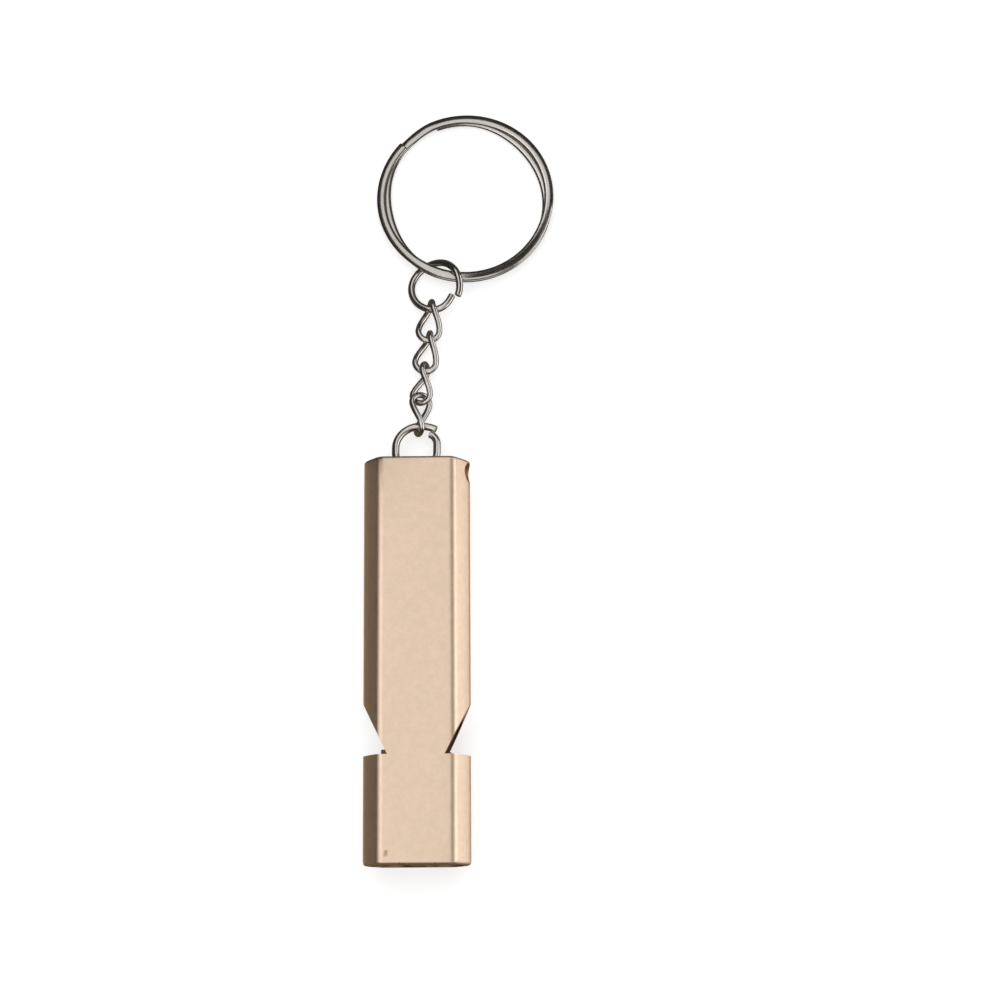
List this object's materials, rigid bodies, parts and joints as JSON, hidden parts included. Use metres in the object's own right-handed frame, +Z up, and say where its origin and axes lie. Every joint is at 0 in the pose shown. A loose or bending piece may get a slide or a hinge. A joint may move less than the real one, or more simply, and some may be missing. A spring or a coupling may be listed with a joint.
{
  "type": "survival whistle",
  "caption": "Flat twin-barrel metal whistle with a side notch for each barrel, hung from a split key ring by a short chain of twisted links.",
  "frame": {"origin": "middle of the whistle's flat back face, which it lies on", "axes": "+X to the right, +Y from the mouthpiece along the whistle to the key ring, +Z up through the front face"},
  "size_m": [0.0254, 0.102, 0.008],
  "materials": {
    "anodised_gold": "bead-blasted and anodised in a pale champagne gold",
    "plug": "anodised like the body, in shade",
    "steel_wire": "nickel-plated wire with a soft shine",
    "steel_ring": "nickel-plated flattened wire with a soft shine"
  },
  "bodies": {
    "whistle": {"whistle_body": "anodised_gold", "fipple_plug_left": "plug", "fipple_plug_right": "plug", "tail_stop_left": "plug", "tail_stop_right": "plug"},
    "body_ring": {"body_ring": "steel_wire"},
    "chain_link_4": {"chain_link_4": "steel_wire"},
    "chain_link_3": {"chain_link_3": "steel_wire"},
    "chain_link_2": {"chain_link_2": "steel_wire"},
    "chain_link_1": {"chain_link_1": "steel_wire"},
    "jump_ring": {"jump_ring": "steel_wire"},
    "split_ring": {"split_ring": "steel_ring"}
  },
  "joints": [
    {"name": "ring_in_web", "type": "hinge", "parent": "whistle", "child": "body_ring", "pos_m": [-0.00015, 0.0254, 0.00391], "axis": [1, 0, 0], "range_deg": [-30, 60]},
    {"name": "link_4_on_ring", "type": "hinge", "parent": "body_ring", "child": "chain_link_4", "pos_m": [0.00015, 0.03081, 0.00192], "axis": [0.3414, -0.0209, 0.9397], "range_deg": [-40, 40]},
    {"name": "link_3_on_link_4", "type": "hinge", "parent": "chain_link_4", "child": "chain_link_3", "pos_m": [0.00031, 0.03506, 0.00192], "axis": [0.8905, -0.122, 0.4384], "range_deg": [-35, 40]},
    {"name": "link_2_on_link_3", "type": "hinge", "parent": "chain_link_3", "child": "chain_link_2", "pos_m": [0.00103, 0.04035, 0.00192], "axis": [-0.2397, 0.0328, 0.9703], "range_deg": [-40, 40]},
    {"name": "link_1_on_link_2", "type": "hinge", "parent": "chain_link_2", "child": "chain_link_1", "pos_m": [0.00138, 0.04369, 0.00192], "axis": [0.9962, -0.0872, 0], "range_deg": [-35, 45]},
    {"name": "jump_ring_on_link_1", "type": "hinge", "parent": "chain_link_1", "child": "jump_ring", "pos_m": [0.00185, 0.04901, 0.00192], "axis": [0.2071, -0.0181, 0.9781], "range_deg": [-30, 30]},
    {"name": "key_ring_on_jump_ring", "type": "hinge", "parent": "jump_ring", "child": "split_ring", "pos_m": [0.00289, 0.05302, 0.00193], "axis": [0.9483, -0.3173, 0], "range_deg": [-20, 20]}
  ]
}
